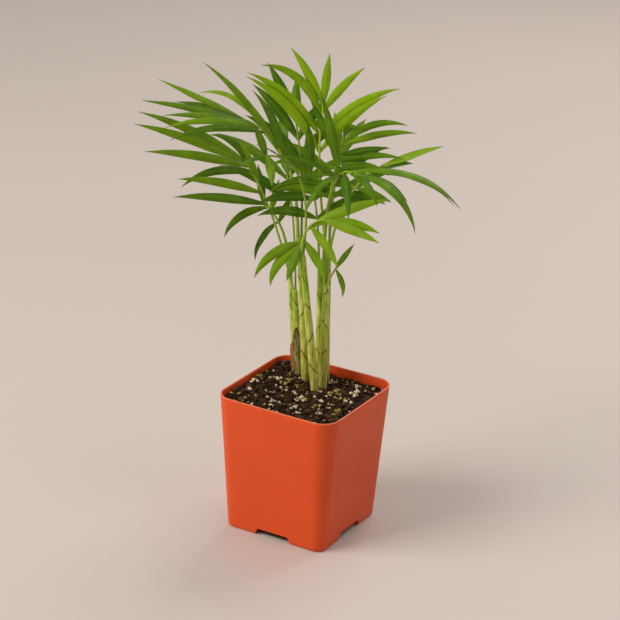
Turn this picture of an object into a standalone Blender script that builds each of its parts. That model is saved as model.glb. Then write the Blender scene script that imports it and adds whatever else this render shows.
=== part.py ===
import math

import bmesh
import bpy
import numpy as np
from mathutils.bvhtree import BVHTree

# Potted palm: a square nursery pot, its potting mix, the canes of young palms
# planted together, and the fronds that rise from the cane tops.
# Metres, +Z up, origin at the middle of the pot's base, X and Y along its sides.

# ---------------------------------------------------------------- pot sizes
POT_HEIGHT = 0.103
RIM_SIDE = 0.095
BASE_SIDE = 0.080
RIM_CORNER = 0.0135
BASE_CORNER = 0.0070
WALL = 0.0012
FLOOR = 0.0014
RIM_ROUND = 0.0005
BASE_ROUND = 0.0012
CORNER_STEPS = 8

# Drain channels: one under the middle of each side, open to the outside.
CHANNEL_WIDTH = 0.030
CHANNEL_TAPER = 0.0025
CHANNEL_HEIGHT = 0.0050
CHANNEL_REACH = 0.018
SLOT_LENGTH = 0.014
SLOT_WIDTH = 0.005

# ------------------------------------------------------------ potting mix
CLEARANCE = 0.0003
SOIL_DROP = 0.0065
SOIL_SWELL = 0.0012
SOIL_TOP = POT_HEIGHT - SOIL_DROP

# ------------------------------------------------------------------ canes
CANE_DEPTH = 0.020
CANE_SIDES = 12
CANE_TOP_ROUND = 0.0006

# The feet stand at shares of the mix's half width.
MIX_HALF = RIM_SIDE / 2 - WALL - CLEARANCE

# name: foot x and foot y as shares, height above the mix (mm), lean, lean heading,
# foot radius, top radius (mm)
CANES = {
    "cane_left": (-0.674, 0.826, 80, 5, 200, 2.3, 1.8),
    "cane_back_left": (-0.478, 0.630, 68, 5, 215, 2.6, 2.2),
    "cane_middle": (-0.283, 0.478, 112, 4, 215, 2.8, 2.6),
    "cane_front": (0.022, 0.261, 104, 7, 205, 3.0, 2.6),
    "cane_inner": (-0.087, 0.543, 90, 1, 210, 2.7, 2.5),
    "cane_right": (0.043, 0.457, 80, 0.5, 210, 2.9, 2.6),
    "cane_back_right": (-0.065, 0.717, 100, 1, 200, 2.8, 2.6),
}

# ------------------------------------------------------------------ fronds
STALK_TIP_RADIUS = 0.0007
LAST_LEAFLET = 0.96
STALK_SIDES = 8
STALK_STEPS = 14
LEAF_STEPS = 9
LEAF_THICK = 0.00060
LEAF_WIDTH = 0.0062
LEAF_WIDENING = 0.025
LEAF_FOLD = 0.16
LEAF_GAP = 0.0006

# Dry sheaths: the brown remains of the first leaves, wrapped round two canes.
# name: cane, height above the mix, wrap, wrap heading
SHEATHS = {
    "dry_sheath_left": ("cane_left", 24, 210, 280),
    "dry_sheath_back": ("cane_back_left", 42, 200, 290),
}
SHEATH_LIFT = 0.0022
SHEATH_THICK = 0.0006

# Each frond: the cane it leaves, its place on the cane top (heading, offset mm),
# stalk (heading, rise, arch, bare length mm, blade length mm), face (heading, tilt),
# then leaflets (side, place along the blade, splay, lift, droop, length mm, turn).
FRONDS = {
    "frond_top": dict(
        cane="cane_back_right", place=(213, 1.4), heading=213, rise=82, arch=-15,
        bare=71, blade=38, face=(300, 20), wide=0.88, foot=1.1,
        leaflets=[
            (-1, 0.05, 28, 5, 35, 78, 0), (1, 0.05, 35, 5, 28, 64, 0),
            (-1, 0.38, 35, 5, 36, 70, 0), (1, 0.38, 39, 5, 36, 67, 0),
            (-1, 0.75, 25, 5, 70, 62, 0), (1, 0.84, 26, 5, 20, 45, 0),
            (-1, 0.98, 30, 5, 15, 48, 0), (1, 1.00, -3, 5, 5, 38, 0),
        ]),
    "frond_left_high": dict(
        cane="cane_middle", place=(210, 1.4), heading=210, rise=87, arch=68,
        bare=61, blade=38, face=(320, 45), wide=0.68, foot=1.45,
        leaflets=[
            (1, 0.10, -6, 8, 20, 88, 0), (1, 0.45, 14, 5, 80, 63, 0),
            (-1, 1.00, -1, 5, 2, 67, 0), (-1, 0.98, 4, 5, 20, 52, 0),
            (-1, 0.90, 17, 5, 8, 80, 0), (-1, 0.80, 23, 5, 18, 68, 0),
            (-1, 0.70, 27, 5, 32, 71, 0), (-1, 0.55, 34, 5, 38, 75, 0),
        ]),
    "frond_left_low": dict(
        cane="cane_back_left", place=(210, 1.2), heading=210, rise=75, arch=19,
        bare=64, blade=40, face=(330, 30), wide=0.78, foot=0.95,
        leaflets=[
            (-1, 0.05, 54, 5, 12, 82, 0), (-1, 0.28, 47, 5, 16, 74, 0),
            (-1, 0.70, 47, 5, 52, 61, 0), (-1, 0.85, 45, 5, 12, 87, 0),
            (-1, 0.93, 35, 5, 12, 96, 0), (-1, 1.00, 28, 5, 16, 92, 0),
            (1, 0.80, 9, 5, 80, 41, 0), (1, 0.45, 9, 5, 24, 36, 0),
        ]),
    "frond_left_drooping": dict(
        cane="cane_left", place=(200, 0.2), heading=200, rise=82, arch=50,
        bare=33, blade=18, face=(330, 30), wide=0.84, foot=1.3,
        leaflets=[
            (-1, 0.05, 92, 0, 70, 35, -20), (-1, 0.80, 52, 5, 75, 42, -20),
            (1, 1.00, 47, 5, 5, 30, 0), (1, 0.60, 57, 10, 5, 24, 0),
            (1, 0.00, 52, 10, 10, 23, 0),
        ]),
    "frond_star": dict(
        cane="cane_right", place=(240, 1.4), heading=322, rise=97, arch=92,
        bare=92, blade=24, face=(330, 80), wide=0.84, foot=1.2,
        leaflets=[
            (1, 0.05, 84, 6, 30, 42, -40), (1, 0.00, 100, 38, 35, 51, -60),
            (1, 0.15, 60, -16, 72, 47, -30), (1, 0.40, 17, -30, 70, 45, 10),
            (-1, 0.75, 18, -12, 72, 38, 20), (-1, 0.90, 29, -2, 84, 71, 30),
            (-1, 0.60, 62, 2, 66, 88, 40), (-1, 0.40, 68, 0, 62, 85, 40),
            (-1, 0.95, 54, -4, 50, 38, 20), (1, 0.02, 20, 52, 8, 60, 180),
        ]),
    "frond_right_high": dict(
        cane="cane_back_right", place=(340, 1.4), heading=0, rise=92, arch=22,
        bare=64, blade=22, face=(300, 30), wide=0.74, foot=1,
        leaflets=[
            (1, 0.85, 28, 5, 54, 55, 0), (1, 0.70, 45, 5, 28, 58, 0),
            (1, 0.35, 57, 5, 12, 39, 0), (1, 0.10, 57, 5, 30, 48, 0),
            (1, 1.00, -6, 3, 150, 27, 0), (-1, 0.60, 50, 5, 20, 34, 0),
        ]),
    "frond_right_back": dict(
        cane="cane_right", place=(110, 1.4), heading=36, rise=87, arch=58,
        bare=68, blade=30, face=(300, 55), wide=0.8, foot=1,
        leaflets=[
            (1, 1.00, 11, 5, 10, 47, 0), (1, 0.90, 14, 0, 30, 26, 0),
            (1, 0.60, 60, 5, 34, 38, 20), (1, 0.20, 65, 0, 15, 30, 20),
            (-1, 0.60, 100, 0, 50, 30, 0), (-1, 0.20, 110, 0, 50, 34, 0),
        ]),
    "frond_front_low": dict(
        cane="cane_front", place=(270, 1.4), heading=15, rise=88, arch=92,
        bare=8, blade=28, face=(290, 30), wide=0.98, foot=1.3,
        leaflets=[
            (1, 0.45, 23, -12, 25, 63, 0), (1, 1.00, -2, 0, 26, 40, 0),
            (1, 0.95, 17, 0, 14, 44, 20), (1, 0.55, 92, -5, 20, 36, 0),
            (1, 0.10, 132, -5, 20, 34, 0), (-1, 0.05, 117, 16, 56, 45, 0),
            (-1, 0.00, 132, 12, 56, 41, 0), (-1, 0.00, 165, 16, 10, 29, 0),
        ]),
    "frond_small_right": dict(
        cane="cane_right", place=(0, 1.4), heading=25, rise=69, arch=8,
        bare=9, blade=4, face=(300, 30), wide=0.6, foot=0.7,
        leaflets=[
            (1, 1.00, 2, 0, 5, 23, 0), (1, 0.90, 116, 0, 50, 22, 0),
        ]),
    "frond_centre_small": dict(
        cane="cane_front", place=(90, 1.4), heading=250, rise=95, arch=92,
        bare=70, blade=26, face=(330, 80), wide=0.92, foot=1,
        leaflets=[
            (1, 0.30, 30, 5, 40, 26, 0), (1, 0.30, 30, 42, 40, 54, -60),
            (1, 1.00, 30, 60, 5, 25, -60), (1, 1.00, 20, -10, 40, 20, 0),
            (-1, 1.00, 66, -10, 60, 26, 20), (-1, 0.40, 60, 0, 40, 26, 20),
        ]),
    "frond_inner_front": dict(
        cane="cane_inner", place=(20, 1.3), heading=30, rise=88, arch=10,
        bare=50, blade=32, face=(300, 25), wide=0.92, foot=1.2,
        leaflets=[
            (-1, 1.00, 34, 5, 8, 46, 0), (-1, 0.75, 84, -3, 40, 46, 0),
            (1, 0.70, 56, 6, 60, 40, 0), (-1, 0.30, 80, 5, 60, 46, 0),
            (1, 0.15, 80, 0, 30, 40, 0), (-1, 0.05, 70, 6, 50, 40, 0),
        ]),
    "frond_inner_left": dict(
        cane="cane_middle", place=(60, 1.4), heading=150, rise=88, arch=25,
        bare=48, blade=36, face=(300, 20), wide=1.0, foot=0.9,
        leaflets=[
            (-1, 0.20, 35, 5, 30, 50, 0), (1, 0.20, 35, 5, 60, 40, 0),
            (-1, 0.60, 25, 5, 20, 50, 0), (1, 0.60, 30, 5, 60, 40, 0),
            (-1, 1.00, 12, 5, 10, 44, 0), (1, 1.00, 12, 5, 5, 30, 0),
        ]),
    "frond_inner_right": dict(
        cane="cane_inner", place=(200, 1.3), heading=200, rise=87, arch=14,
        bare=32, blade=36, face=(300, 30), wide=1.0, foot=1,
        leaflets=[
            (-1, 0.10, 60, 5, 50, 44, 0), (1, 0.10, 60, -4, 40, 44, 0),
            (-1, 0.50, 62, 17, 40, 44, 0), (1, 0.50, 46, 2, 30, 46, 0),
            (-1, 1.00, 24, 8, 15, 40, 0), (1, 1.00, 12, 14, 15, 44, 0),
        ]),
    "frond_back_left": dict(
        cane="cane_back_left", place=(90, 1.2), heading=140, rise=82, arch=50,
        bare=60, blade=40, face=(140, 85), wide=1.0, foot=0.8,
        leaflets=[
            (-1, 0.10, 50, 5, 30, 58, 0), (1, 0.10, 50, 5, 30, 58, 0),
            (-1, 0.50, 40, 5, 30, 60, 0), (1, 0.50, 40, 5, 30, 60, 0),
            (-1, 1.00, 12, 5, 30, 58, 0), (1, 0.95, 15, 5, 30, 58, 0),
        ]),
    "frond_back_right": dict(
        cane="cane_back_right", place=(90, 1.4), heading=110, rise=80, arch=45,
        bare=34, blade=34, face=(90, 85), wide=1.0, foot=0.9,
        leaflets=[
            (-1, 0.10, 50, 5, 30, 46, 0), (1, 0.10, 50, 5, 30, 44, 0),
            (-1, 0.50, 53, 18, 30, 48, 0), (1, 0.50, 40, 5, 30, 44, 0),
            (-1, 1.00, 12, 5, 30, 46, 0), (1, 0.95, 15, 5, 30, 44, 0),
        ]),
}


# ------------------------------------------------------- shapes as formulas
def unit(vector):
    """The vector at length one."""
    return vector / np.linalg.norm(vector)


def aim(heading, rise):
    """Unit vector at a heading from +X (toward +Y) and a rise from level, in degrees."""
    turn_rad = math.radians(heading)
    rise_rad = math.radians(rise)
    level = math.cos(rise_rad)
    return np.array([level * math.cos(turn_rad), level * math.sin(turn_rad), math.sin(rise_rad)])


def turned(vector, axis, angles):
    """The vector turned about a unit axis by each of the angles (radians)."""
    cosine = np.cos(angles)[:, None]
    sine = np.sin(angles)[:, None]
    along = axis * float(np.dot(axis, vector))
    return vector * cosine + np.cross(axis, vector) * sine + along * (1 - cosine)


def running_sum(steps, spacing):
    """Points reached by following the directions one after another from zero."""
    middle = (steps[1:] + steps[:-1]) / 2
    return np.vstack([np.zeros(3), np.cumsum(middle * spacing, axis=0)])


def cane_ends(name):
    """Foot point under the mix, top point and axis of a cane."""
    share_x, share_y, height, lean, lean_heading, foot_radius, top_radius = CANES[name]
    axis = aim(lean_heading, 90 - lean)
    ground = np.array([share_x * MIX_HALF, share_y * MIX_HALF, SOIL_TOP])
    top = ground + axis * (height / 1000 / axis[2])
    foot = ground - axis * (CANE_DEPTH / axis[2])
    return foot, top, axis


def stalk_line(frond, count):
    """Centre line of a frond's stalk and its direction at each point."""
    top, axis = cane_ends(frond["cane"])[1:]
    place_heading, place_offset = frond["place"]
    sideways = aim(place_heading, 0)
    sideways = unit(sideways - axis * float(np.dot(sideways, axis)))
    start = top + sideways * (place_offset / 1000) + axis * CLEARANCE
    length = (frond["bare"] + frond["blade"]) / 1000
    part = np.linspace(0, 1, count)
    bend = np.radians(frond["rise"] - frond["arch"] * part ** 2)
    level = np.array([math.cos(math.radians(frond["heading"])), math.sin(math.radians(frond["heading"])), 0])
    ways = level * np.cos(bend)[:, None] + np.array([0, 0, 1]) * np.sin(bend)[:, None]
    return start + running_sum(ways, length / (count - 1)), ways


def leaflet_line(frond, leaflet, count):
    """Centre line, directions and upper-side normals of one leaflet."""
    side, place, splay, lift, droop, length, turn = leaflet
    points, ways = stalk_line(frond, 61)
    bare_part = frond["bare"] / (frond["bare"] + frond["blade"])
    spot = (bare_part + (1 - bare_part) * place * LAST_LEAFLET) * 60
    low = min(int(spot), 59)
    root = points[low] + (points[low + 1] - points[low]) * (spot - low)
    way = unit(ways[low] + (ways[low + 1] - ways[low]) * (spot - low))
    face = aim(*frond["face"])
    face = unit(face - way * float(np.dot(face, way)))
    across = np.cross(way, face)
    flat = way * math.cos(math.radians(splay)) + across * side * math.sin(math.radians(splay))
    start_way = flat * math.cos(math.radians(lift)) + face * math.sin(math.radians(lift))
    start_up = face * math.cos(math.radians(lift)) - flat * math.sin(math.radians(lift))
    start_up = turned(start_up, start_way, np.radians([turn]))[0]
    axis = unit(np.cross(start_way, np.array([0, 0, -1])))
    part = np.linspace(0, 1, count)
    angles = np.radians(droop) * part ** 1.5
    directions = turned(start_way, axis, angles)
    normals = turned(start_up, axis, angles)
    return root + running_sum(directions, length / 1000 / (count - 1)), directions, normals


def leaf_half_width(part, length, wide):
    """Half the width of a leaflet at a place along it: narrow foot, full middle, long point."""
    rise = 0.28 + 0.72 * np.sin(np.minimum(part / 0.42, 1) * math.pi / 2) ** 1.2
    fall = 1 - np.clip((part - 0.42) / 0.58, 0, 1) ** 2.0
    return (LEAF_WIDTH + LEAF_WIDENING * length) * wide / 2 * rise * fall


# ------------------------------------------------------------ Blender
def clear_scene():
    """Start from an empty scene."""
    for item in list(bpy.data.objects):
        bpy.data.objects.remove(item)


def paint(name, colour, roughness):
    """One plain surface finish."""
    finish = bpy.data.materials.new(name)
    finish.use_nodes = True
    shader = finish.node_tree.nodes["Principled BSDF"]
    shader.inputs["Base Color"].default_value = (*colour, 1)
    shader.inputs["Roughness"].default_value = roughness
    return finish


def add_object(name, points, faces, finish):
    """An object from points and faces, with its faces turned outward."""
    mesh = bpy.data.meshes.new(name)
    mesh.from_pydata([tuple(point) for point in points], [], faces)
    work = bmesh.new()
    work.from_mesh(mesh)
    bmesh.ops.recalc_face_normals(work, faces=work.faces)
    work.to_mesh(mesh)
    work.free()
    item = bpy.data.objects.new(name, mesh)
    if finish is not None:
        mesh.materials.append(finish)
    bpy.context.collection.objects.link(item)
    return item


def loft(rings):
    """Points and faces of a closed body from rings of equal size, capped at both ends."""
    count = len(rings[0])
    points = np.vstack(rings)
    faces = []
    for level in range(len(rings) - 1):
        for spot in range(count):
            follow = (spot + 1) % count
            faces.append((level * count + spot, level * count + follow,
                          (level + 1) * count + follow, (level + 1) * count + spot))
    faces.append(tuple(range(count - 1, -1, -1)))
    last = (len(rings) - 1) * count
    faces.append(tuple(range(last, last + count)))
    return points, faces


def combine(target, cutter, operation):
    """Join or cut one object with another and drop the second one."""
    step = target.modifiers.new("combine", "BOOLEAN")
    step.operation = operation
    step.solver = "EXACT"
    step.use_self = operation == "UNION"
    step.object = cutter
    bpy.context.view_layer.update()
    shape = target.evaluated_get(bpy.context.evaluated_depsgraph_get())
    mesh = bpy.data.meshes.new_from_object(shape)
    target.modifiers.clear()
    target.data = mesh
    bpy.data.objects.remove(cutter)


def tidy(item):
    """Weld doubled points left by the cuts."""
    work = bmesh.new()
    work.from_mesh(item.data)
    bmesh.ops.remove_doubles(work, verts=work.verts, dist=0.00001)
    bmesh.ops.dissolve_degenerate(work, edges=work.edges, dist=0.000001)
    bmesh.ops.recalc_face_normals(work, faces=work.faces)
    work.to_mesh(item.data)
    work.free()


def drop_specks(item):
    """Keep the body itself and drop the specks a join can leave on or beside it."""
    work = bmesh.new()
    work.from_mesh(item.data)
    bmesh.ops.triangulate(work, faces=work.faces)
    left = set(work.faces)
    islands = []
    while left:
        first = left.pop()
        island = [first]
        waiting = [first]
        while waiting:
            for edge in waiting.pop().edges:
                if len(edge.link_faces) == 2:
                    for face in edge.link_faces:
                        if face in left:
                            left.discard(face)
                            island.append(face)
                            waiting.append(face)
        islands.append(island)
    islands.sort(key=len)
    for island in islands[:-1]:
        bmesh.ops.delete(work, geom=island, context="FACES")
    work.to_mesh(item.data)
    work.free()


def square_ring(side, corner, height):
    """A level ring: a square with rounded corners."""
    reach = side / 2 - corner
    turns = np.linspace(0, math.pi / 2, CORNER_STEPS + 1)
    parts = []
    for quarter, (middle_x, middle_y) in enumerate([(1, 1), (-1, 1), (-1, -1), (1, -1)]):
        angles = turns + quarter * math.pi / 2
        parts.append(np.stack([middle_x * reach + corner * np.cos(angles),
                               middle_y * reach + corner * np.sin(angles),
                               np.full(len(angles), height)], axis=1))
    return np.vstack(parts)


def wall_ring(height, inset):
    """Ring on the pot's side wall at a height, moved inward by an inset."""
    part = height / POT_HEIGHT
    side = BASE_SIDE + (RIM_SIDE - BASE_SIDE) * part
    corner = BASE_CORNER + (RIM_CORNER - BASE_CORNER) * part
    return square_ring(side - 2 * inset, max(corner - inset, 0.002), height)


def channel_block(turn, grow, name):
    """A drain channel's housing or hollow under the middle of one side."""
    half_foot = CHANNEL_WIDTH / 2 + grow
    half_top = half_foot - CHANNEL_TAPER
    top = CHANNEL_HEIGHT + grow
    inner = BASE_SIDE / 2 - CHANNEL_REACH - grow
    if name == "hollow":
        outer = RIM_SIDE / 2
        bottom = -0.001
    elif name == "housing":
        outer = BASE_SIDE / 2 - WALL * 0.6
        bottom = FLOOR * 0.4
    else:
        outer = RIM_SIDE / 2
        bottom = 0
    lean = CHANNEL_TAPER * 0.6
    points = []
    for place, ease in ((inner, 1), (outer, 0)):
        points += [(place, -half_foot, bottom), (place, half_foot, bottom),
                   (place + lean * ease, half_top, top), (place + lean * ease, -half_top, top)]
    faces = [(0, 1, 2, 3), (4, 5, 6, 7), (0, 1, 5, 4), (1, 2, 6, 5), (2, 3, 7, 6), (3, 0, 4, 7)]
    points = [spin(point, turn) for point in points]
    return add_object(name, points, faces, None)


def spin(point, quarter):
    """A point turned about Z by quarter turns."""
    x, y, z = point
    for _ in range(quarter):
        x, y = -y, x
    return (x, y, z)


def slot_block(turn):
    """The drain slot through the roof of a channel."""
    middle = BASE_SIDE / 2 - CHANNEL_REACH / 2
    points = []
    for height in (CHANNEL_HEIGHT - 0.001, CHANNEL_HEIGHT + WALL + 0.001):
        points += [(middle - SLOT_WIDTH / 2, -SLOT_LENGTH / 2, height),
                   (middle + SLOT_WIDTH / 2, -SLOT_LENGTH / 2, height),
                   (middle + SLOT_WIDTH / 2, SLOT_LENGTH / 2, height),
                   (middle - SLOT_WIDTH / 2, SLOT_LENGTH / 2, height)]
    faces = [(0, 1, 2, 3), (4, 5, 6, 7), (0, 1, 5, 4), (1, 2, 6, 5), (2, 3, 7, 6), (3, 0, 4, 7)]
    points = [spin(point, turn) for point in points]
    return add_object("slot", points, faces, None)


def make_pot(finish):
    """The pot: one thin tapered shell with drain channels moulded into its floor."""
    half = BASE_ROUND * (1 - math.sin(math.pi / 4))
    edge = RIM_ROUND * (1 - math.sin(math.pi / 4))
    rings = [
        wall_ring(0, BASE_ROUND), wall_ring(half, half), wall_ring(BASE_ROUND, 0),
        wall_ring(POT_HEIGHT / 2, 0),
        wall_ring(POT_HEIGHT - RIM_ROUND, 0), wall_ring(POT_HEIGHT - edge, edge),
        wall_ring(POT_HEIGHT, RIM_ROUND),
        wall_ring(POT_HEIGHT, WALL - RIM_ROUND), wall_ring(POT_HEIGHT - edge, WALL - edge),
        wall_ring(POT_HEIGHT - RIM_ROUND, WALL),
        wall_ring(POT_HEIGHT / 2, WALL),
        wall_ring(FLOOR + BASE_ROUND, WALL), wall_ring(FLOOR, WALL + BASE_ROUND * 0.6),
    ]
    pot = add_object("pot", *loft(rings), finish)
    for turn in range(4):
        combine(pot, channel_block(turn, WALL, "housing"), "UNION")
    for turn in range(4):
        combine(pot, channel_block(turn, 0, "hollow"), "DIFFERENCE")
        combine(pot, slot_block(turn), "DIFFERENCE")
    tidy(pot)
    return pot


def swell(points):
    """Height of the mix's uneven top above its mean level."""
    x = points[:, 0]
    y = points[:, 1]
    waves = np.sin(x * 160 + 1.0) * np.cos(y * 130) + 0.6 * np.sin(x * 310 + y * 240 + 0.7)
    return SOIL_SWELL * waves * 0.6


def make_soil(finish):
    """The potting mix: fills the pot to below the rim, with a socket for each cane."""
    rings = [
        wall_ring(FLOOR + CLEARANCE, WALL + BASE_ROUND * 0.6 + CLEARANCE),
        wall_ring(FLOOR + BASE_ROUND + CLEARANCE, WALL + CLEARANCE),
        wall_ring(POT_HEIGHT / 2, WALL + CLEARANCE),
        wall_ring(SOIL_TOP - 0.001, WALL + CLEARANCE),
        wall_ring(SOIL_TOP, WALL + CLEARANCE + 0.0012),
    ]
    for shrink in (0.86, 0.7, 0.54, 0.38, 0.22, 0.08):
        ring = rings[4].copy()
        ring[:, :2] *= shrink
        ring[:, 2] = SOIL_TOP + swell(ring) * min(1, (1 - shrink) / 0.3)
        rings.append(ring)
    soil = add_object("soil", *loft(rings), finish)
    for turn in range(4):
        combine(soil, channel_block(turn, WALL + CLEARANCE, "recess"), "DIFFERENCE")
    for name in CANES:
        combine(soil, cane_body(name, CLEARANCE, None), "DIFFERENCE")
    tidy(soil)
    return soil


def circle_ring(middle, way, side_way, radius, sides):
    """A ring round a centre line."""
    other = np.cross(way, side_way)
    angles = np.arange(sides) * 2 * math.pi / sides
    return middle + radius * (np.cos(angles)[:, None] * side_way + np.sin(angles)[:, None] * other)


def cane_radius(name, part):
    """Radius of a cane at a part of the way up."""
    foot_radius, top_radius = CANES[name][5:7]
    return (foot_radius + (top_radius - foot_radius) * part) / 1000


def cane_body(name, grow, finish):
    """A cane, or with growth the socket cut for it."""
    foot, top, axis = cane_ends(name)
    side_way = unit(np.cross(axis, np.array([0, 1, 0])))
    length = float(np.linalg.norm(top - foot))
    round_part = CANE_TOP_ROUND / length
    rings = []
    for part in (0, 0.25, 0.5, 0.75, 1 - round_part):
        radius = cane_radius(name, part) + grow
        middle = foot + (top - foot) * part - axis * (grow if part == 0 else 0)
        rings.append(circle_ring(middle, axis, side_way, radius, CANE_SIDES))
    rings.append(circle_ring(top, axis, side_way, cane_radius(name, 1) + grow - CANE_TOP_ROUND * 0.4, CANE_SIDES))
    return add_object(name, *loft(rings), finish)


def sheath_body(name, finish):
    """A dry sheath: a curved strip standing round part of a cane with a pointed top."""
    cane, height, wrap, wrap_heading = SHEATHS[name]
    foot, top, axis = cane_ends(cane)
    ground = foot + axis * (CANE_DEPTH / axis[2])
    side_way = unit(aim(wrap_heading, 0) - axis * float(np.dot(aim(wrap_heading, 0), axis)))
    other = np.cross(axis, side_way)
    length = height / 1000
    rings = []
    for part in np.linspace(0, 1, 7):
        up = SHEATH_LIFT + (length - SHEATH_LIFT) * part
        inner = cane_radius(cane, 0.2) + CLEARANCE
        outer = inner + SHEATH_THICK
        reach = math.radians(wrap / 2) * (1 - 0.75 * part ** 3)
        angles = np.linspace(-reach, reach, 9)
        around = np.cos(angles)[:, None] * side_way + np.sin(angles)[:, None] * other
        middle = ground + axis * up
        rings.append(np.vstack([middle + around * outer, (middle + around * inner)[::-1]]))
    return add_object(name, *loft(rings), finish)


def stalk_radius(frond, part):
    """Radius of a stalk at a part of the way along it."""
    foot = frond["foot"] / 1000
    return foot + (STALK_TIP_RADIUS - foot) * part


def stalk_shell(frond):
    """Points and faces of a frond's stalk."""
    line, ways = stalk_line(frond, STALK_STEPS)
    level = aim(frond["heading"] + 90, 0)
    rings = []
    for spot in range(STALK_STEPS):
        radius = stalk_radius(frond, spot / (STALK_STEPS - 1))
        rings.append(circle_ring(line[spot], ways[spot], level, radius, STALK_SIDES))
    return loft(rings)


def leaflet_shell(frond, leaflet, count, grow):
    """Points and faces of one leaflet: a thin blade folded along its midrib."""
    line, ways, ups = leaflet_line(frond, leaflet, count)
    part = np.linspace(0, 1, count)
    half = leaf_half_width(part, leaflet[5] / 1000, frond["wide"])
    half = np.maximum(half, 0.0003) + grow
    across = np.cross(ways, ups)
    thick = LEAF_THICK / 2 * (1 - 0.5 * part) + grow
    fold = half * LEAF_FOLD
    left = line - across * half[:, None] - ups * fold[:, None]
    right = line + across * half[:, None] - ups * fold[:, None]
    above = line + ups * thick[:, None]
    below = line - ups * thick[:, None]
    rings = [np.array([left[spot], above[spot], right[spot], below[spot]]) for spot in range(count)]
    return loft(rings)


# Changes tried in turn when a leaflet would meet another frond: lift and splay in degrees.
TURNS_ASIDE = [(0, 0)] + [
    (lift * step, splay * step)
    for step in (3, 6, 9, 13, 17, 22, 28, 35, 44)
    for lift, splay in ((1, 0), (-1, 0), (0, 1), (0, -1), (1, 1), (-1, -1), (1, -1), (-1, 1))
]


def shell_tree(shells, gap):
    """Search tree over the faces of several shells."""
    points = []
    faces = []
    for shell_points, shell_faces in shells:
        start = len(points)
        points += [tuple(point) for point in shell_points]
        faces += [tuple(corner + start for corner in face) for face in shell_faces]
    return BVHTree.FromPolygons(points, faces, epsilon=gap)


def settle_fronds():
    """Turn leaflets aside until each one is clear of the canes and of every other frond."""
    canes = []
    for name in CANES:
        item = cane_body(name, 0, None)
        canes.append(([vertex.co.copy() for vertex in item.data.vertices],
                      [tuple(face.vertices) for face in item.data.polygons]))
        bpy.data.objects.remove(item)
    stalks = {name: stalk_shell(frond) for name, frond in FRONDS.items()}
    placed = {name: [] for name in FRONDS}
    for name, frond in FRONDS.items():
        others = list(canes)
        for other in FRONDS:
            if other != name:
                others.append(stalks[other])
                others += placed[other]
        tree = shell_tree(others, 0)
        kept = []
        for leaflet in frond["leaflets"]:
            side, place, splay, lift, droop, length, turn = leaflet
            for more_lift, more_splay in TURNS_ASIDE:
                trial = (side, place, splay + more_splay, lift + more_lift, droop, length, turn)
                shell = leaflet_shell(frond, trial, LEAF_STEPS, LEAF_GAP)
                if not tree.overlap(shell_tree([shell], 0)):
                    leaflet = trial
                    break
            kept.append(leaflet)
            placed[name].append(leaflet_shell(frond, leaflet, LEAF_STEPS, 0))
        frond["leaflets"] = kept


def make_frond(name, finish):
    """A frond grown as one piece: stalk and leaflets joined."""
    frond = FRONDS[name]
    item = add_object(name, *stalk_shell(frond), finish)
    points = []
    faces = []
    for leaflet in frond["leaflets"]:
        blade_points, blade_faces = leaflet_shell(frond, leaflet, LEAF_STEPS, 0)
        start = len(points)
        points += list(blade_points)
        faces += [tuple(corner + start for corner in face) for face in blade_faces]
    combine(item, add_object("leaflets", points, faces, finish), "UNION")
    tidy(item)
    drop_specks(item)
    return item


clear_scene()
settle_fronds()
make_pot(paint("terracotta plastic", (0.62, 0.13, 0.05), 0.38))
make_soil(paint("potting mix", (0.035, 0.022, 0.015), 0.95))
cane_finish = paint("cane", (0.42, 0.52, 0.12), 0.45)
for cane_name in CANES:
    cane_body(cane_name, 0, cane_finish)
sheath_finish = paint("dry sheath", (0.22, 0.10, 0.05), 0.80)
for sheath_name in SHEATHS:
    sheath_body(sheath_name, sheath_finish)
leaf_finish = paint("leaf", (0.16, 0.34, 0.03), 0.42)
for frond_name in FRONDS:
    make_frond(frond_name, leaf_finish)
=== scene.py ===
import math

import bmesh
import bpy
import numpy as np
from mathutils import Matrix


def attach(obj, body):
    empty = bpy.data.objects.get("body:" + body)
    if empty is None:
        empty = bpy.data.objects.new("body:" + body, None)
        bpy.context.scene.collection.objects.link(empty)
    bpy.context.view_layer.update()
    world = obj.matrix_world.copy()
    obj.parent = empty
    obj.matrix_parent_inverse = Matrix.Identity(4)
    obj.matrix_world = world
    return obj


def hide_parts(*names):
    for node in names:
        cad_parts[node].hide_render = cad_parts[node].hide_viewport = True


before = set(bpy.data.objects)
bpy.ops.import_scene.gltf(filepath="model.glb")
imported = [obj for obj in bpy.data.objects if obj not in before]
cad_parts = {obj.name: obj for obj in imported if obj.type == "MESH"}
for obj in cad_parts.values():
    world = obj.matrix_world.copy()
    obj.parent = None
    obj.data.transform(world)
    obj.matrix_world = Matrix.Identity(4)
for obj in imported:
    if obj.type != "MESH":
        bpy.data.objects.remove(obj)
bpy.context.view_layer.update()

# Potted palm: pot, potting mix, canes with their sheaths, and the fronds.
# Metres, +Z up, the middle of the pot's underside at the origin.


# ---- small helpers: vectors, meshes and shader nodes

# each vector divided by its own length
def unit(vector):
    return vector / np.linalg.norm(vector, axis=-1, keepdims=True)


# unit vector at a heading from +X toward +Y and a rise from level, in degrees
def aim(heading, rise):
    turn, tip = math.radians(heading), math.radians(rise)
    return np.array([math.cos(tip) * math.cos(turn), math.cos(tip) * math.sin(turn), math.sin(tip)])


# the vector turned about a unit axis by each angle: v cos + (axis x v) sin + axis (axis . v)(1 - cos)
def turned(vector, axis, angles):
    cosine, sine = np.cos(angles)[:, None], np.sin(angles)[:, None]
    return vector * cosine + np.cross(axis, vector) * sine + axis * float(axis @ vector) * (1 - cosine)


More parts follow.
